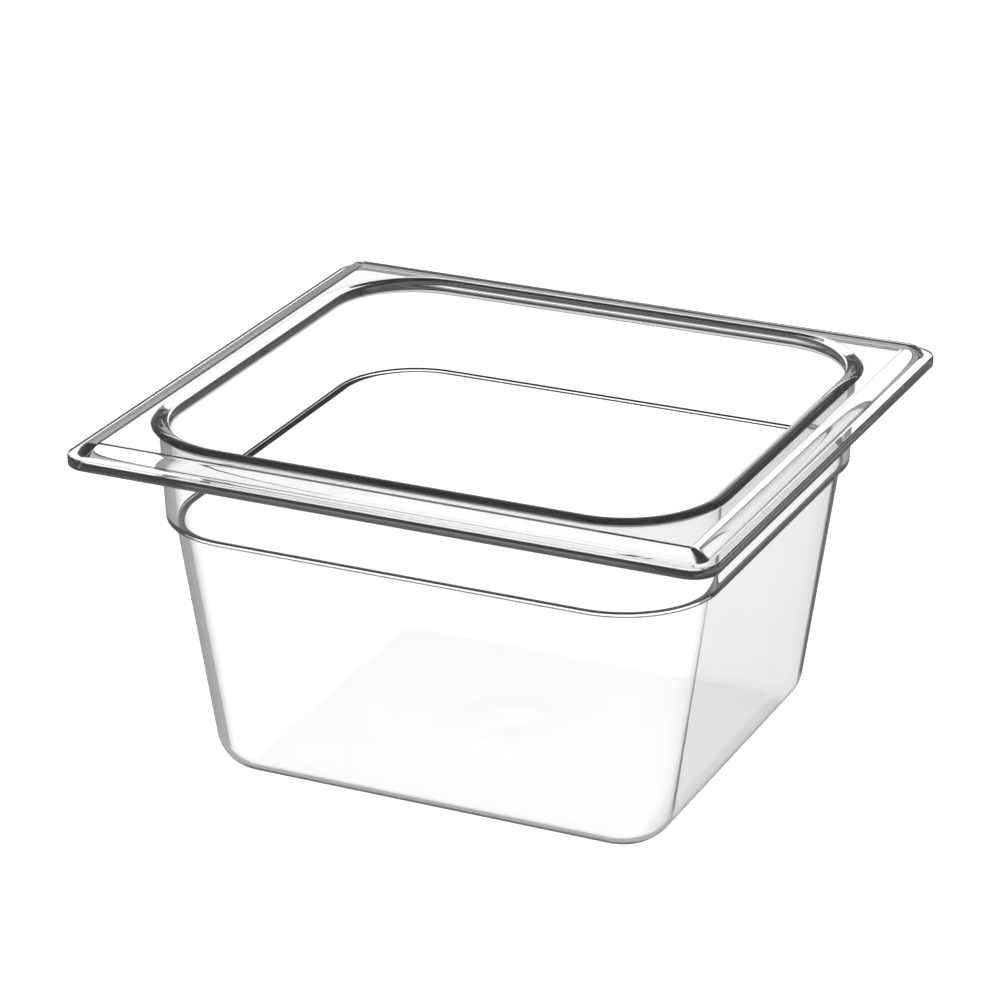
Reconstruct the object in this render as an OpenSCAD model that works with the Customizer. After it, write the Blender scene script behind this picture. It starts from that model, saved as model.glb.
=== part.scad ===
// Clear sixth-size food pan, moulded in one piece.
// The pan stands on its base at z = 0, with its long side along X and its centre over the origin.
// One wall section is carried round fixed corner centres, so every corner is a true cone, and a
// second section with its own corner centres makes the flange that hangs in a counter's well.

/* [Overall] */
// Length over the flange, along X
pan_length = 176; // [140:1:330]
// Width over the flange, along Y
pan_width = 162; // [120:1:330]
// Height from the base to the top of the rim bead
pan_height = 97.5; // [65:0.5:116]

/* [Walls] */
// Thickness of the collar wall
collar_t = 2.7; // [2:0.1:3]
// Thickness of the body walls
body_t = 2.2; // [1.9:0.1:2.8]
// Thickness of the base
base_t = 2.6; // [1.8:0.1:4]

/* [Flange] */
// Distance from the flange's outer edge in to the hump's crest
crest_inset = 7; // [6.6:0.1:7.8]
// Thickness of the ledge at the flange's outer edge
lip_t = 2.9; // [2:0.1:3.5]
// Rounding of the ledge's outer edges
lip_edge_r = 0.5; // [0.3:0.1:0.9]
// Radius of the convex hump between the ledge and the land
hump_r = 4.6; // [4.2:0.1:5.6]
// Height of the land above the ledge
land_rise = 2.9; // [2.4:0.1:3.3]
// Thickness of the land
flange_t = 2.5; // [1.8:0.1:2.8]
// Width of the flat seat under the ledge that the pan hangs by
seat_w = 3.2; // [2.6:0.1:3.8]
// Rounding of the seat's inner edge
seat_edge_r = 0.5; // [0.2:0.1:0.8]
// Distance inside the crest at which the flange's underside starts its slope down to the seat
slope_lead = 0.8; // [0.4:0.1:1]
// Rounding at the top of that slope
slope_r = 1; // [0.4:0.1:1.2]
// Fillet between the collar and the flange's underside
flange_fillet_r = 1.5; // [0.4:0.1:1.8]

/* [Rim bead] */
// Width of the raised bead round the opening
bead_w = 4.6; // [4.2:0.1:5]
// Height of the bead above the land
bead_rise = 0.6; // [0.55:0.05:0.7]
// Slope of the bead's two sides, in degrees
bead_slope = 20; // [18:1:21]
// Rounding of the opening's inner edge
bead_edge_r = 1.2; // [0.6:0.1:1.4]

/* [Collar and shoulder] */
// Distance from the flange's outer edge in to the collar, at the shoulder
collar_inset = 12.7; // [12.5:0.1:15]
// Depth of the shoulder's underside below the top of the pan
collar_depth = 26.4; // [16:0.1:34]
// Draft of the collar wall, in degrees
collar_draft = 2.4; // [1:0.1:3]
// Outside corner radius of the collar at the shoulder
collar_corner_r = 25.2; // [23:0.1:34]
// Width of the stacking shoulder, from the collar in to the body
shoulder_step = 2.2; // [2:0.05:3.2]
// Rounding of the shoulder's outer edge
shoulder_edge_r = 0.4; // [0.2:0.1:0.8]
// Fillet between the shoulder's underside and the body
shoulder_fillet_r = 0.2; // [0.2:0.1:0.8]
// Height of the shelf inside the pan above the shoulder's underside
shelf_rise = 0.7; // [0.5:0.1:2.4]
// Rounding of the shelf's edge
shelf_edge_r = 0.8; // [0.3:0.1:1]
// Fillet between the shelf and the collar
shelf_fillet_r = 0.7; // [0.2:0.1:0.7]

/* [Body and base] */
// Draft of the body walls, in degrees
body_draft = 8.15; // [3:0.05:9]
// Outside fillet between the body and the base
base_fillet_r = 11; // [6:0.5:12]
// Diameter of the shallow gate well under the base
gate_well_d = 30.6; // [16:0.2:50]
// Depth of the gate well
gate_well_depth = 0.3; // [0.25:0.05:0.8]
// Diameter of the gate stub inside the well
gate_stub_d = 6; // [3:0.5:10]
// Height of the gate stub, less than the well is deep
gate_stub_h = 0.2; // [0.1:0.05:0.25]

/* [Hidden] */
$fn = 96;

// A fillet's circle is this much oversize, so that it cuts its two sides cleanly
seam = 0.002;
// A fillet's web reaches this far past its corner, into the wall or the open
web_overlap = 0.3;

// Heights of the rim, from the top down
land_z = pan_height - bead_rise;
land_under_z = land_z - flange_t;
ledge_z = land_z - land_rise;
lip_under_z = ledge_z - lip_t;

// The flange turns each corner about the point where the hump's crests meet
crest_x = pan_length / 2 - crest_inset;
crest_y = pan_width / 2 - crest_inset;
lead_inset = slope_lead + slope_r;

// The collar, the body and the base share four corner centres
corner_inset = collar_inset + collar_corner_r;
corner_x = pan_length / 2 - corner_inset;
corner_y = pan_width / 2 - corner_inset;

// Heights of the shoulder, outside and inside the pan
shoulder_z = pan_height - collar_depth;
shelf_z = shoulder_z + shelf_rise;

// Radii of the wall's four faces about a corner centre, at height z
body_wall_across = body_t / cos(body_draft);
function collar_outer(z) = collar_corner_r + (z - shoulder_z) * tan(collar_draft);
function collar_inner(z) = collar_outer(z) - collar_t / cos(collar_draft);
function body_outer(z) = collar_corner_r - shoulder_step - (shoulder_z - z) * tan(body_draft);
function body_inner(z) = body_outer(z) - body_wall_across;

bead_inner = collar_inner(land_z);
bead_outer = bead_inner + bead_w;
bead_peak_z = land_z + bead_w / 2 * tan(bead_slope);
bead_crown_r = (bead_peak_z - pan_height) / (1 / cos(bead_slope) - 1);
base_inner_fillet_r = base_fillet_r - body_t;

function unit(v) = v / norm(v);
function cross_z(a, b) = a[0] * b[1] - a[1] * b[0];

// Fills the space between a corner's two sides and the circle that touches both
module corner_web(before, corner, after, r) {
    to_before = unit(before - corner);
    to_after = unit(after - corner);
    half = acos(to_before * to_after) / 2;
    centre = corner + unit(to_before + to_after) * r / sin(half);
    reach = r / tan(half);
    difference() {
        polygon([
            corner + to_before * reach,
            corner + unit(corner - centre) * web_overlap,
            corner + to_after * reach
        ]);
        translate(centre) circle(r + seam);
    }
}

// An outline, listed counter-clockwise as [x, y, radius], with true arcs at its corners
module rounded_outline(outline) {
    count = len(outline);
    points = [for (p = outline) [p[0], p[1]]];
    turns = [for (i = [0 : count - 1])
        cross_z(points[i] - points[(i + count - 1) % count], points[(i + 1) % count] - points[i])];
    difference() {
        union() {
            polygon(points);
            for (i = [0 : count - 1])
                if (outline[i][2] > 0 && turns[i] < 0)
                    corner_web(points[i - 1], points[i], points[(i + 1) % count], outline[i][2]);
        }
        for (i = [0 : count - 1])
            if (outline[i][2] > 0 && turns[i] > 0)
                corner_web(points[i - 1], points[i], points[(i + 1) % count], outline[i][2]);
    }
}

// Carries a section along the four straight sides of a rectangle of corner centres
module straight_runs(reach_x, reach_y) {
    for (side = [0 : 3]) {
        reach = side % 2 == 0 ? reach_x : reach_y;
        span = side % 2 == 0 ? reach_y : reach_x;
        rotate(90 * side) translate([reach, span, 0])
            rotate([90, 0, 0]) linear_extrude(2 * span) children();
    }
}

// Carries a section round the four corner centres, a quarter turn each
module quarter_turns(reach_x, reach_y) {
    for (side = [0 : 3]) {
        reach = side % 2 == 0 ? reach_x : reach_y;
        span = side % 2 == 0 ? reach_y : reach_x;
        rotate(90 * side) translate([reach, span, 0]) rotate_extrude(angle = 90) children();
    }
}

// A plate with round corners about the corner centres
module rounded_plate(r, height) {
    translate([-corner_x - r, -corner_y, 0]) cube([2 * (corner_x + r), 2 * corner_y, height]);
    translate([-corner_x, -corner_y - r, 0]) cube([2 * corner_x, 2 * (corner_y + r), height]);
    for (x = [-corner_x, corner_x], y = [-corner_y, corner_y])
        translate([x, y, 0]) cylinder(r = r, h = height);
}

// Section of the base, body, shoulder, collar and bead, measured out from a corner centre
module wall_section() {
    rounded_outline([
        [0, 0, 0],
        [body_outer(0), 0, base_fillet_r],
        [body_outer(shoulder_z), shoulder_z, shoulder_fillet_r],
        [collar_corner_r, shoulder_z, shoulder_edge_r],
        [collar_outer(land_under_z), land_under_z, flange_fillet_r],
        [bead_outer, land_under_z, 0],
        [bead_outer, land_z, 0],
        [bead_inner + bead_w / 2, bead_peak_z, bead_crown_r],
        [bead_inner, land_z, bead_edge_r],
        [collar_inner(shelf_z), shelf_z, shelf_fillet_r],
        [body_inner(shelf_z), shelf_z, shelf_edge_r],
        [body_inner(base_t), base_t, base_inner_fillet_r],
        [0, base_t, 0]
    ]);
}

// Section of the hump and the ledge, measured out from the crest, with a little of the land inside it
module flange_section() {
    hump_centre_z = land_z - hump_r;
    intersection() {
        union() {
            translate([0, hump_centre_z]) circle(hump_r);
            translate([-lead_inset, lip_under_z]) square([lead_inset, land_z - lip_under_z]);
            rounded_outline([
                [0, lip_under_z, 0],
                [crest_inset, lip_under_z, 0],
                [crest_inset, ledge_z, lip_edge_r],
                [0, ledge_z, 0]
            ]);
        }
        rounded_outline([
            [-lead_inset, land_under_z, 0],
            [-slope_lead, land_under_z, slope_r],
            [crest_inset - seat_w, lip_under_z, seat_edge_r],
            [crest_inset, lip_under_z, lip_edge_r],
            [crest_inset, pan_height, 0],
            [-lead_inset, pan_height, 0]
        ]);
    }
}

// The part of the flange's section outside the crest, which turns the corners
module flange_corner_section() {
    intersection() {
        flange_section();
        translate([0, lip_under_z]) square([crest_inset, pan_height - lip_under_z]);
    }
}

// Flat land between the flange and the bead, wide at the corners
module land() {
    hole_r = collar_outer(land_z) - collar_t / 2;
    land_x = crest_x - lead_inset;
    land_y = crest_y - lead_inset;
    translate([0, 0, land_under_z]) difference() {
        translate([-land_x, -land_y, 0]) cube([2 * land_x, 2 * land_y, flange_t]);
        translate([0, 0, -flange_t]) rounded_plate(hole_r, 3 * flange_t);
    }
}

// Shallow well under the base that keeps the gate stub clear of the table
module gate_well() {
    translate([0, 0, -gate_well_depth]) cylinder(d = gate_well_d, h = 2 * gate_well_depth);
}

module gate_stub() {
    translate([0, 0, gate_well_depth - gate_stub_h]) cylinder(d = gate_stub_d, h = base_t / 2);
}

module pan() {
    color("lightcyan", 0.4) {
        difference() {
            union() {
                straight_runs(corner_x, corner_y) wall_section();
                quarter_turns(corner_x, corner_y) wall_section();
                translate([-corner_x, -corner_y, 0]) cube([2 * corner_x, 2 * corner_y, base_t]);
                land();
                straight_runs(crest_x, crest_y) flange_section();
                quarter_turns(crest_x, crest_y) flange_corner_section();
            }
            gate_well();
        }
        gate_stub();
    }
}

pan();
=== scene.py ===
# %% [markdown]
# # A clear sixth-size food pan
# A catering pan is one shot of polycarbonate: a flange that hangs in a counter well, a raised bead
# round the opening, a straight collar, a stacking shoulder and a tapered body on a flat base.
# What the eye reads on such a pan is not its colour, because it has none, but the dark and bright
# lines that its edges draw by bending light. So the lesson is mostly about one accurate section.

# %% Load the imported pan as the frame
import math

import bpy
import numpy as np
from mathutils import Matrix, Vector


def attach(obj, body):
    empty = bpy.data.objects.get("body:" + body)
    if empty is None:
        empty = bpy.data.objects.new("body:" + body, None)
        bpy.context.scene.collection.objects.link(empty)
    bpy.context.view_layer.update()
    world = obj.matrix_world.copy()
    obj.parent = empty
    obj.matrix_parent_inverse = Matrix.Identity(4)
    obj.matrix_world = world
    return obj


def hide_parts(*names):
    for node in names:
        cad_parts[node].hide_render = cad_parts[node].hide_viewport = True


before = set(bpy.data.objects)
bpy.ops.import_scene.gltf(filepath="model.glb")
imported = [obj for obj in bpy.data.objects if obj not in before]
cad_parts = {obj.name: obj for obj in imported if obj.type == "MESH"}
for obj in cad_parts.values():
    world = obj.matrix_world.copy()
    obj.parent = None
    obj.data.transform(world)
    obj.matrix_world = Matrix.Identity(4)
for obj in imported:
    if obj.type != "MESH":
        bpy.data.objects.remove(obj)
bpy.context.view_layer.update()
MM = 0.001
print("frame nodes:", sorted(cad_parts))

# %% [markdown]
# ## The section of the pan
# Cut the real pan through the middle of a side and you see one thin, bent strip of plastic. All
# its corners are rounded, because a mould is. The CAD solid has nearly the same strip, but its
# facets would show as stripes once light bends through them. Here the strip is worked out again
# with finer arcs and with the true surface direction at every point, which clear plastic needs.
# Half a millimetre matters: a shelf that lies flat lets the light through, and one that falls a
# few degrees towards the middle throws it back and draws a dark line.

# %% Arcs between straight runs
def rounded_strip(corners, step_mm=3.0, arc_step_deg=7.5, least_on_arc=3):
    """Follows corners [across, height, radius] and rounds each one with a tangent arc.

    On a run the outward direction is the run turned a quarter to the right. On an arc it turns
    evenly from one run's to the next, and a point is arc centre + or - radius * direction.
    Returns the points and the outward directions as two arrays.
    """
    corners = np.asarray(corners, float)
    spots, radii = corners[:, :2], corners[:, 2]
    runs = np.diff(spots, axis=0)
    runs /= np.linalg.norm(runs, axis=1)[:, None]
    facing = np.stack([runs[:, 1], -runs[:, 0]], axis=1)
    turn = np.arctan2(runs[:-1, 0] * runs[1:, 1] - runs[:-1, 1] * runs[1:, 0],
                      (runs[:-1] * runs[1:]).sum(1))
    cut = np.concatenate([[0], radii[1:-1] * np.abs(np.tan(turn / 2)), [0]])
    points, outward = [], []
    for i in range(len(runs)):
        start = spots[i] + runs[i] * cut[i]
        end = spots[i + 1] - runs[i] * cut[i + 1]
        pieces = max(1, int(np.ceil(np.linalg.norm(end - start) / step_mm)))
        along = np.linspace(0, 1, pieces + 1)[:, None]
        points.append(start + (end - start) * along)
        outward.append(np.repeat(facing[i:i + 1], pieces + 1, axis=0))
        if i < len(turn) and radii[i + 1] > 0:
            side = np.sign(turn[i])
            centre = end - side * radii[i + 1] * facing[i]
            pieces = max(least_on_arc, int(np.ceil(abs(np.degrees(turn[i])) / arc_step_deg)))
            swing = np.linspace(0, turn[i], pieces + 1)[1:-1]
            c, s = np.cos(swing), np.sin(swing)
            fx, fy = facing[i]
            ray = np.stack([c * fx - s * fy, s * fx + c * fy], 1)
            points.append(centre + side * radii[i + 1] * ray)
            outward.append(ray)
    return np.concatenate(points), np.concatenate(outward)


bend, _ = rounded_strip([[0, 0, 0], [10, 0, 2], [10, 10, 0]])
print("a square bend with a 2 mm arc takes", len(bend), "points")

# %% The pan's own numbers, in millimetres
PAN_LENGTH, PAN_WIDTH, PAN_HEIGHT = 176.0, 162.0, 97.5
WALL, BODY_WALL, BASE, FLANGE = 2.7, 2.2, 2.3, 2.5
CREST_INSET, HUMP_R, LAND_RISE, LIP, LIP_EDGE = 7.0, 4.6, 2.9, 2.9, 0.5
SEAT_W, SEAT_EDGE, SLOPE_LEAD, SLOPE_EDGE = 3.2, 0.5, 0.8, 1.0
BEAD_W, BEAD_RISE, BEAD_SLOPE, BEAD_EDGE = 4.6, 0.6, math.radians(20), 1.2
COLLAR_INSET, COLLAR_DEPTH, COLLAR_R = 12.7, 26.4, 25.2
FLANGE_FILLET, SHOULDER_STEP, SHOULDER_EDGE, SHOULDER_FILLET = 1.5, 2.2, 0.4, 0.2
SHELF_RISE, SHELF_EDGE, SHELF_FILLET, SHELF_SLOPE = 0.2, 0.5, 1.0, math.radians(5)
COLLAR_DRAFT, BODY_DRAFT = math.radians(2.4), math.radians(8.15)
BASE_FILLET, FLOOR_FILLET = 11.0, 7.2
SOFTENED, EASED = 0.35, 0.5

land_z = PAN_HEIGHT - BEAD_RISE
under_z = land_z - FLANGE
ledge_z = land_z - LAND_RISE
lip_z = ledge_z - LIP
shoulder_z = PAN_HEIGHT - COLLAR_DEPTH
shelf_z = shoulder_z + SHELF_RISE
corner_inset = COLLAR_INSET + COLLAR_R
crest = corner_inset - CREST_INSET
lead = crest - SLOPE_LEAD - SLOPE_EDGE


def collar_face(z, thickness=0.0):
    """Distance from a corner centre to the collar's face, on its draft."""
    rise = (z - shoulder_z) * math.tan(COLLAR_DRAFT)
    return COLLAR_R + rise - thickness / math.cos(COLLAR_DRAFT)


def body_face(z, thickness=0.0):
    """Distance from a corner centre to the body's face, on its draft."""
    drop = (shoulder_z - z) * math.tan(BODY_DRAFT)
    return COLLAR_R - SHOULDER_STEP - drop - thickness / math.cos(BODY_DRAFT)


shelf_w = collar_face(shelf_z, WALL) - body_face(shelf_z, BODY_WALL)
shelf_top = shelf_z + shelf_w * math.tan(SHELF_SLOPE)
bead_in = collar_face(land_z, WALL)
bead_peak = BEAD_W / 2 * math.tan(BEAD_SLOPE)
bead_crown = (bead_peak - BEAD_RISE) / (1 / math.cos(BEAD_SLOPE) - 1)
print(f"land at {land_z:.2f} mm, shelf {shelf_w:.2f} mm wide")
print(f"bead crown radius {bead_crown:.2f} mm")

# %% The strip from the base, over the flange, to the floor
BASE_START, FLOOR_END = 3.0, 2.0
FOOT_POINTS, HUMP_POINTS = 8, 14
SAME_SPOT = 1e-9
hump_mid = np.array([crest, land_z - HUMP_R])
soft_z = ledge_z + SOFTENED
soft_across = math.sqrt((HUMP_R + SOFTENED) ** 2 - (soft_z - hump_mid[1]) ** 2)
soft_mid = np.array([crest + soft_across, soft_z])
hump_start = math.atan2(*(soft_mid - hump_mid)[::-1])

below = rounded_strip([
    [BASE_START, 0, 0],
    [body_face(0), 0, BASE_FILLET],
    [body_face(shoulder_z), shoulder_z, SHOULDER_FILLET],
    [COLLAR_R, shoulder_z, SHOULDER_EDGE],
    [collar_face(under_z), under_z, FLANGE_FILLET],
    [lead, under_z, 0],
    [crest - SLOPE_LEAD, under_z, SLOPE_EDGE],
    [corner_inset - SEAT_W, lip_z, SEAT_EDGE],
    [corner_inset, lip_z, LIP_EDGE],
    [corner_inset, ledge_z, LIP_EDGE],
    [soft_mid[0], ledge_z, 0],
])
foot_angle = np.linspace(math.pi / 2, hump_start, FOOT_POINTS)[1:-1]
foot_ray = np.stack([np.cos(foot_angle), np.sin(foot_angle)], 1)
hump_angle = np.linspace(hump_start, math.pi / 2, HUMP_POINTS)[:-1]
hump_ray = np.stack([np.cos(hump_angle), np.sin(hump_angle)], 1)
above = rounded_strip([
    [crest, land_z, 0],
    [lead, land_z, 0],
    [bead_in + BEAD_W, land_z, SOFTENED],
    [bead_in + BEAD_W / 2, land_z + bead_peak, bead_crown],
    [bead_in, land_z, BEAD_EDGE],
    [collar_face(shelf_top, WALL), shelf_top, SHELF_FILLET],
    [body_face(shelf_z, BODY_WALL), shelf_z, SHELF_EDGE],
    [body_face(BASE, BODY_WALL), BASE, FLOOR_FILLET],
    [FLOOR_END, BASE, 0],
])
foot, hump = soft_mid - SOFTENED * foot_ray, hump_mid + HUMP_R * hump_ray
strip = np.concatenate([below[0], foot, hump, above[0]])
strip_out = np.concatenate([below[1], foot_ray, hump_ray, above[1]])
change = np.abs(np.diff(strip, axis=0)).sum(1) + np.abs(np.diff(strip_out, axis=0)).sum(1)
fresh = np.concatenate([[True], change > SAME_SPOT])
strip, strip_out = strip[fresh], strip_out[fresh]
print("strip of", len(strip), "points, from", strip.min(0).round(2), "to", strip.max(0).round(2))

# %% [markdown]
# ## Carrying the section round the pan
# The collar and the outside of the body turn each corner about one fixed centre, so their corners
# are cones. Inside the body the centre lies half a millimetre further in, and these slightly
# rounder corners keep the corners' lines soft. The flange turns about the point where its crests
# meet, further out, and the flat land between them fills the corner. A Screw modifier turns about
# one axis only and a bevelled curve twists its section, so each ring is laid out directly: a
# rectangle of corner centres, a radius and a height. Across the land the rings slide from the
# wall's centres to the flange's.

# %% One lap round the four corners
CORNER_STEPS, SIDE_STEPS = 24, 10
quarter = np.linspace(0, math.pi / 2, CORNER_STEPS + 1)
side_run = np.linspace(1, -1, SIDE_STEPS + 1)[1:-1]
hold = np.ones(SIDE_STEPS - 1)
turns = [quarter + math.pi / 2 * k for k in range(4)]
lap_angle = np.concatenate([np.concatenate([turns[k], hold * turns[k][-1]]) for k in range(4)])
flat = np.ones(CORNER_STEPS + 1)
lap_x = np.concatenate([flat, side_run, -flat, -hold, -flat, -side_run, flat, hold])
lap_y = np.concatenate([flat, hold, flat, side_run, -flat, -hold, -flat, -side_run])
cos_lap, sin_lap = np.cos(lap_angle), np.sin(lap_angle)
print("points on a lap:", len(lap_angle))

# %% Rings of the walls and the flange
centre_x = PAN_LENGTH / 2 - corner_inset
centre_y = PAN_WIDTH / 2 - corner_inset
LAND_MARGIN, TINY = 0.3, 0.05
slide_from = bead_in + BEAD_W + LAND_MARGIN
# Just above the height where the shelf starts to round over into the body
shelf_end = shelf_z + SHELF_EDGE / 10


def wall_rings(strip, strip_out):
    """Point = side sign * corner centre + radius * (cos, sin) of the lap angle, at strip height.

    As the strip crosses the land, the centre slides out from the wall's to the flange's and the
    radius shrinks to almost nothing. Inside the body the corners are eased: a little rounder than
    outside. Returns points and outward directions as ring, lap and axis.
    """
    across, height = strip[:, 0], strip[:, 1]
    slide = np.clip((across - slide_from) / (lead - slide_from), 0, 1)
    radius = np.where(slide > 0, slide_from + (TINY - slide_from) * slide, across)
    radius = np.where(across >= lead, np.maximum(across - crest, TINY), radius)
    reach = np.clip(across, lead, crest)
    inside = (np.arange(len(height)) > np.argmax(height)) & (height < shelf_end)
    shift = slide * reach - EASED * inside
    radius = radius + EASED * inside
    x = np.outer(centre_x + shift, lap_x) + np.outer(radius, cos_lap)
    y = np.outer(centre_y + shift, lap_y) + np.outer(radius, sin_lap)
    z = np.repeat(height[:, None], len(lap_x), axis=1)
    out_x, out_y = np.outer(strip_out[:, 0], cos_lap), np.outer(strip_out[:, 0], sin_lap)
    out_z = np.repeat(strip_out[:, 1:], len(lap_x), axis=1)
    return np.stack([x, y, z], 2), np.stack([out_x, out_y, out_z], 2)


walls, walls_out = wall_rings(strip, strip_out)
print("wall rings:", walls.shape)

# %% [markdown]
# ## Closing the base and the floor
# Under the base sits a shallow round well with the stub where the plastic entered the mould. Its
# sides run out so gently that it shows through the clear base only as a faint dimple. The flat
# rings therefore change from the rounded rectangle to a circle on the way in, and the innermost
# ring closes on one middle point.

# %% Flat rings that turn into circles
WELL_R, WELL_DEPTH, STUB_R, STUB_H = 15.3, 0.16, 3.0, 0.1
STUB_RUN, WELL_RUN, WELL_MARGIN = 2.4, 4.0, 6.0
STUB_TOP_ARC, STUB_FOOT_ARC, WELL_ARC = 20.0, 40.0, 60.0
GATE_MIDDLE_R, FLOOR_MIDDLE_R = 0.1, 0.4
stub_z = WELL_DEPTH - STUB_H
well_end = WELL_R + WELL_MARGIN


def flat_rings(edge, radius, shares, direction):
    """Point = (1 - share) * edge ring + share * circle of that radius, in the edge's own plane."""
    bearing = np.arctan2(edge[:, 1], edge[:, 0])
    round_ring = np.stack([radius * np.cos(bearing), radius * np.sin(bearing), edge[:, 2]], 1)
    rings = edge + (round_ring - edge) * np.asarray(shares)[:, None, None]
    return rings, np.broadcast_to(np.array([0, 0, direction], float), rings.shape)


def turned_rings(edge, profile, facing):
    """Point = profile's radius * (cos, sin) of the edge ring's bearing, at the profile's height."""
    bearing = np.arctan2(edge[:, 1], edge[:, 0])
    spoke = np.stack([np.cos(bearing), np.sin(bearing)], 1)
    flat_part = profile[:, None, :1] * spoke
    rings = np.concatenate([flat_part, np.repeat(profile[:, None, 1:], len(edge), 1)], 2)
    rise = np.repeat(facing[:, None, 1:], len(edge), 1)
    return rings, np.concatenate([facing[:, None, :1] * spoke, rise], 2)


well, well_out = rounded_strip([
    [GATE_MIDDLE_R, stub_z, 0],
    [STUB_R - STUB_RUN, stub_z, STUB_TOP_ARC],
    [STUB_R + STUB_RUN, WELL_DEPTH, STUB_FOOT_ARC],
    [WELL_R - WELL_RUN, WELL_DEPTH, WELL_ARC],
    [WELL_R + WELL_RUN, 0, WELL_ARC],
    [well_end, 0, 0],
], arc_step_deg=1)
gate, gate_out = turned_rings(walls[0], well, well_out)
base, base_out = flat_rings(walls[0], well_end, [0.8, 0.6, 0.4, 0.2], -1)
floor, floor_out = flat_rings(walls[-1], FLOOR_MIDDLE_R, [0.2, 0.4, 0.6, 0.8, 1.0], 1)
rings = np.concatenate([gate, base, walls, floor])
rings_out = np.concatenate([gate_out, base_out, walls_out, floor_out])
print("rings in all:", rings.shape[0])

# %% [markdown]
# ## From rings to a mesh
# Rings make a grid of four-sided faces, and two fans close its ends. The outward directions
# worked out above go into the mesh as custom normals, so that a ray bends as it would on the true
# arc, and not on the average of a few faces.

# %% The clear pan
def closed_grid(name, rings, directions, first_middle, last_middle):
    """Joins ring i to ring i + 1 with quads, wraps the lap, and closes both ends with a fan."""
    count, lap = rings.shape[:2]
    spot = np.arange(count * lap).reshape(count, lap)
    onward = np.roll(spot, -1, axis=1)
    quads = np.stack([spot[:-1], onward[:-1], onward[1:], spot[1:]], 2).reshape(-1, 4)
    first, last = count * lap, count * lap + 1
    start_fan = np.stack([np.full(lap, first), onward[0], spot[0]], 1)
    end_fan = np.stack([np.full(lap, last), spot[-1], onward[-1]], 1)
    points = np.concatenate([rings.reshape(-1, 3), [first_middle, last_middle]]) * MM
    mesh = bpy.data.meshes.new(name)
    mesh.from_pydata(points.tolist(), [], quads.tolist() + start_fan.tolist() + end_fan.tolist())
    mesh.polygons.foreach_set("use_smooth", np.ones(len(mesh.polygons), bool))
    normals = np.concatenate([directions.reshape(-1, 3), [[0, 0, -1], [0, 0, 1]]])
    mesh.normals_split_custom_set_from_vertices(normals.tolist())
    piece = bpy.data.objects.new(name, mesh)
    bpy.context.scene.collection.objects.link(piece)
    return piece


pan = closed_grid("clear_pan", rings, rings_out, [0, 0, stub_z], [0, 0, BASE])
spots = np.zeros(len(pan.data.vertices) * 3)
pan.data.vertices.foreach_get("co", spots)
pan.data.calc_loop_triangles()
tri = np.zeros(len(pan.data.loop_triangles) * 3, int)
pan.data.loop_triangles.foreach_get("vertices", tri)
a, b, c = spots.reshape(-1, 3)[tri].reshape(-1, 3, 3).transpose(1, 0, 2)
volume = np.einsum("ij,ij->", a, np.cross(b, c)) / 6 / (10 * MM) ** 3
print(f"clear_pan: {len(tri) // 3} triangles, {volume:.1f} cm3 of plastic")

# %% [markdown]
# ## Shader sums as plain Python
# A node tree is only arithmetic, but wiring Math nodes by hand hides that. This small class wraps
# a socket, so that `0.03 * scuff` adds the node by itself.

# %% A socket that can be added and multiplied
class Socket:
    """One output of a node, with Python's operators standing for Math nodes."""

    def __init__(self, tree, output):
        self.tree, self.output = tree, output

    def node(self, kind, settings=None, out=0, **inputs):
        """Any node: its type, settings, the output to hand on, and its sockets' values or links.

        An input is given by name, with _ for a space, or by number: i6 is the seventh.
        """
        made = self.tree.nodes.new(kind)
        for key, value in (settings or {}).items():
            setattr(made, key, value)
        for key, value in inputs.items():
            at = int(key[1:]) if key[0] == "i" and key[1:].isdigit() else key.replace("_", " ")
            if isinstance(value, Socket):
                self.tree.links.new(value.output, made.inputs[at])
            else:
                made.inputs[at].default_value = value
        return Socket(self.tree, made.outputs[out])

    def maths(self, operation, *values):
        """A Math node on these values or sockets."""
        sockets = {f"i{i}": value for i, value in enumerate(values)}
        return self.node("ShaderNodeMath", {"operation": operation}, **sockets)

    def __add__(self, other):
        return self.maths("ADD", self, other)

    def __mul__(self, other):
        return self.maths("MULTIPLY", self, other)

    __radd__ = __add__
    __rmul__ = __mul__


def new_material(name):
    """An empty material, and a socket that starts its tree: the object's own coordinates."""
    material = bpy.data.materials.new(name)
    material.use_nodes = True
    material.node_tree.nodes.clear()
    start = Socket(material.node_tree, None)
    return material, start.node("ShaderNodeTexCoord", out="Object")


print("sockets take + and *, a Math operation by its name, and any node by its type")

# %% [markdown]
# ## Clear polycarbonate
# Moulded polycarbonate bends light more than window glass, at an index of about 1.585. The
# surface is never perfect: slow waves are left by the flow in the mould, and washing leaves a
# thin haze of scuffs, which scatters a few thousandths of the light. Lamps reach the table
# straight through the thin walls: for shadow rays and for light that the table scatters the pan
# is plain transparent, which spares the render a storm of bright specks and looks the same at
# this wall thickness.

# %% The pan's material
clear, place = new_material("clear_polycarbonate_moulded")
flow = place.node("ShaderNodeTexNoise", Vector=place, Scale=26.0, Detail=2.0, Roughness=0.4)
haze = place.node("ShaderNodeTexNoise", Vector=place, Scale=190.0, Detail=5.0, Roughness=0.65)
scuff = place.node("ShaderNodeMapRange", {"interpolation_type": "SMOOTHSTEP"},
                   Value=haze, From_Min=0.52, From_Max=0.75, To_Min=0.0, To_Max=1.0)
tint = place.node("ShaderNodeMix", {"data_type": "RGBA"}, out=2, i0=flow,
                  i6=(0.986, 0.988, 0.988, 1), i7=(0.970, 0.972, 0.973, 1))
wave = place.node("ShaderNodeBump", Strength=0.04, Distance=0.002, Height=flow)
plastic = place.node("ShaderNodeBsdfPrincipled", Base_Color=tint, Roughness=0.012 + 0.03 * scuff,
                     Normal=wave, IOR=1.585, Transmission_Weight=0.997)
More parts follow.
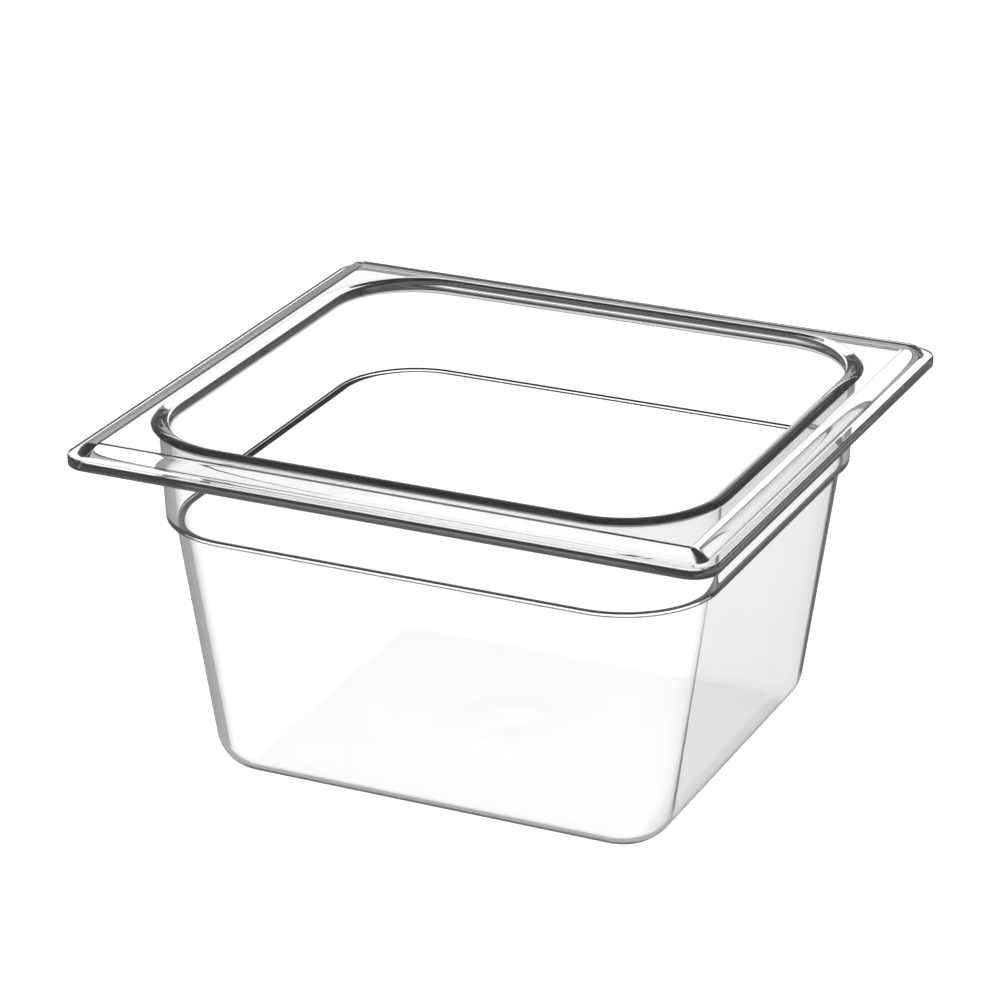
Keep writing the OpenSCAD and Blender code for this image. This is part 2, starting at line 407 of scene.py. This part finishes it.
shadow = place.node("ShaderNodeLightPath", out="Is Shadow Ray")
scattered = place.node("ShaderNodeLightPath", out="Is Diffuse Ray")
passing = place.node("ShaderNodeBsdfTransparent")
skin = place.node("ShaderNodeMixShader", i0=place.maths("MAXIMUM", shadow, scattered),
                  i1=plastic, i2=passing)
final = clear.node_tree.nodes.new("ShaderNodeOutputMaterial")
clear.node_tree.links.new(skin.output, final.inputs["Surface"])
pan.data.materials.append(clear)
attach(pan, "root")
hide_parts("pan")
print("material on", pan.name, "with", len(clear.node_tree.nodes), "nodes")

# %% [markdown]
# ## Light that gets lost in the plastic
# In a real pan, light that is thrown back and forth inside an edge loses strength at each turn,
# to scuffs, dust and the plastic itself, and the dark rims of clear things come from that. The
# renderer keeps every mirror turn at full strength. So the table and the room count the turns a
# ray has made, which the Light Path node calls its glossy depth, and answer with less light: the
# room shines weaker, and the table's colour is painted darker, a painted shade that draws the
# pan's dark rims.

# %% What is left of the light after its turns
TURN_LOSS, TRAPPED = 0.36, 0.03


def kept_share(start):
    """Share = TRAPPED + (1 - TRAPPED) * TURN_LOSS ** number of turns inside the plastic."""
    turns_made = start.node("ShaderNodeLightPath", out="Glossy Depth")
    return TRAPPED + (1 - TRAPPED) * start.maths("POWER", TURN_LOSS, turns_made)


print("left after one, two and three turns:",
      [round(TRAPPED + (1 - TRAPPED) * TURN_LOSS ** n, 3) for n in (1, 2, 3)])

# %% [markdown]
# ## A pale table
# Clear things are photographed against white, with the dark parts of the room left to draw the
# edges. The table is one large pale sheet with the faintest mottle. Where it is seen after turns
# inside the plastic, its colour is painted darker, a painted shade for the pan's rims. It stays
# out of plain reflections, so that the tops of the edges mirror the room alone.

# %% The table
REACH, TABLE_GAP = 6.0, 0.3 * MM
table_mesh = bpy.data.meshes.new("table")
edges = [(-REACH, -REACH, 0), (REACH, -REACH, 0), (REACH, REACH, 0), (-REACH, REACH, 0)]
table_mesh.from_pydata(edges, [], [(0, 1, 2, 3)])
table = bpy.data.objects.new("table", table_mesh)
table.location.z = -TABLE_GAP
bpy.context.scene.collection.objects.link(table)
pale, spot = new_material("pale_table")
mottle = spot.node("ShaderNodeTexNoise", Vector=spot, Scale=3.0, Detail=3.0)
sheet = spot.node("ShaderNodeMix", {"data_type": "RGBA"}, out=2, i0=mottle,
                  i6=(0.80, 0.80, 0.80, 1), i7=(0.82, 0.82, 0.82, 1))
# Painted shade: the table's colour goes darker with each turn a ray has made inside the plastic
table_colour_with_painted_shade = spot.node("ShaderNodeMix", {"data_type": "RGBA"}, out=2, i0=kept_share(spot),
                 i6=(0.0, 0.0, 0.0, 1), i7=sheet)
matt = spot.node("ShaderNodeBsdfPrincipled", Base_Color=table_colour_with_painted_shade, Roughness=0.9)
ending = pale.node_tree.nodes.new("ShaderNodeOutputMaterial")
pale.node_tree.links.new(matt.output, ending.inputs["Surface"])
table.data.materials.append(pale)
table.visible_glossy = False
print("table", 2 * REACH, "m across")

# %% [markdown]
# ## Light
# A soft lamp from above makes the table a little brighter than white, so that a clean wall still
# looks white and every further layer of plastic a shade greyer. A pale backdrop rises behind the
# table and fades out upwards: light from there makes the flange grey, and the dark room above it
# makes the lines.

# %% Lamps and room
BACKDROP, ROOM_DARK = (0.9, 0.9, 0.9, 1), (0.05, 0.05, 0.052, 1)
FADE_FROM, FADE_TO = math.radians(10), math.radians(40)
LAMP_STRENGTH, LAMP_SPREAD = 5.1, math.radians(60)
LAMP_TILT = (math.radians(10), math.radians(-12), 0)
lamp = bpy.data.lights.new("overhead", "SUN")
lamp.energy, lamp.angle = LAMP_STRENGTH, LAMP_SPREAD
sun = bpy.data.objects.new("overhead", lamp)
sun.rotation_euler = LAMP_TILT
bpy.context.scene.collection.objects.link(sun)
sun.visible_transmission = sun.visible_glossy = False
room = bpy.data.worlds.new("room")
room.use_nodes = True
air = Socket(room.node_tree, None)
toward = air.node("ShaderNodeTexCoord", out="Generated")
rise = toward.node("ShaderNodeSeparateXYZ", Vector=toward, out="Z")
dark = rise.node("ShaderNodeMapRange", {"interpolation_type": "SMOOTHSTEP"},
                 Value=rise, From_Min=math.sin(FADE_FROM), From_Max=math.sin(FADE_TO))
shade = rise.node("ShaderNodeMix", {"data_type": "RGBA"}, out=2, i0=dark,
                  i6=BACKDROP, i7=ROOM_DARK)
glow = room.node_tree.nodes["Background"]
room.node_tree.links.new(shade.output, glow.inputs["Color"])
room.node_tree.links.new(kept_share(air).output, glow.inputs["Strength"])
bpy.context.scene.world = room
bpy.context.scene.view_settings.view_transform = "Standard"
paths = bpy.context.scene.cycles
paths.max_bounces, paths.transmission_bounces, paths.glossy_bounces = 40, 24, 32
print("lamp strength", lamp.energy)

# %% [markdown]
# ## The camera
# The standard outline of such a pan gives the scale, so the camera can be worked out backwards:
# its place, its tilt and its lens are the ones that put the pan's edges where the picture of the
# real one has them. The long lens keeps the sides of the flange almost parallel.

# %% The camera
AZIMUTH, ELEVATION, ROLL = (math.radians(v) for v in (25.181, 22.697, -0.414))
AIM, DISTANCE = Vector((-19.96, 34.33, 50.0)) * MM, 1101.0 * MM
FOCAL_PX, FRAME_PX, SENSOR_MM = 4063.0, 1000, 36.0
flat_reach = math.cos(ELEVATION)
back = Vector((math.sin(AZIMUTH) * flat_reach, -math.cos(AZIMUTH) * flat_reach,
               math.sin(ELEVATION)))
level = Vector((math.cos(AZIMUTH), math.sin(AZIMUTH), 0))
upright = back.cross(level)
right = math.cos(ROLL) * level + math.sin(ROLL) * upright
up = -math.sin(ROLL) * level + math.cos(ROLL) * upright
lens = bpy.data.cameras.new("camera")
lens.sensor_width, lens.lens = SENSOR_MM, FOCAL_PX / FRAME_PX * SENSOR_MM
lens.clip_start, lens.clip_end = 0.01, 50
camera = bpy.data.objects.new("camera", lens)
seat = AIM + back * DISTANCE
camera.matrix_world = Matrix(((right.x, up.x, back.x, seat.x), (right.y, up.y, back.y, seat.y),
                              (right.z, up.z, back.z, seat.z), (0, 0, 0, 1)))
bpy.context.scene.collection.objects.link(camera)
bpy.context.scene.camera = camera
print("lens", round(lens.lens, 1), "mm at", [round(v, 3) for v in seat])
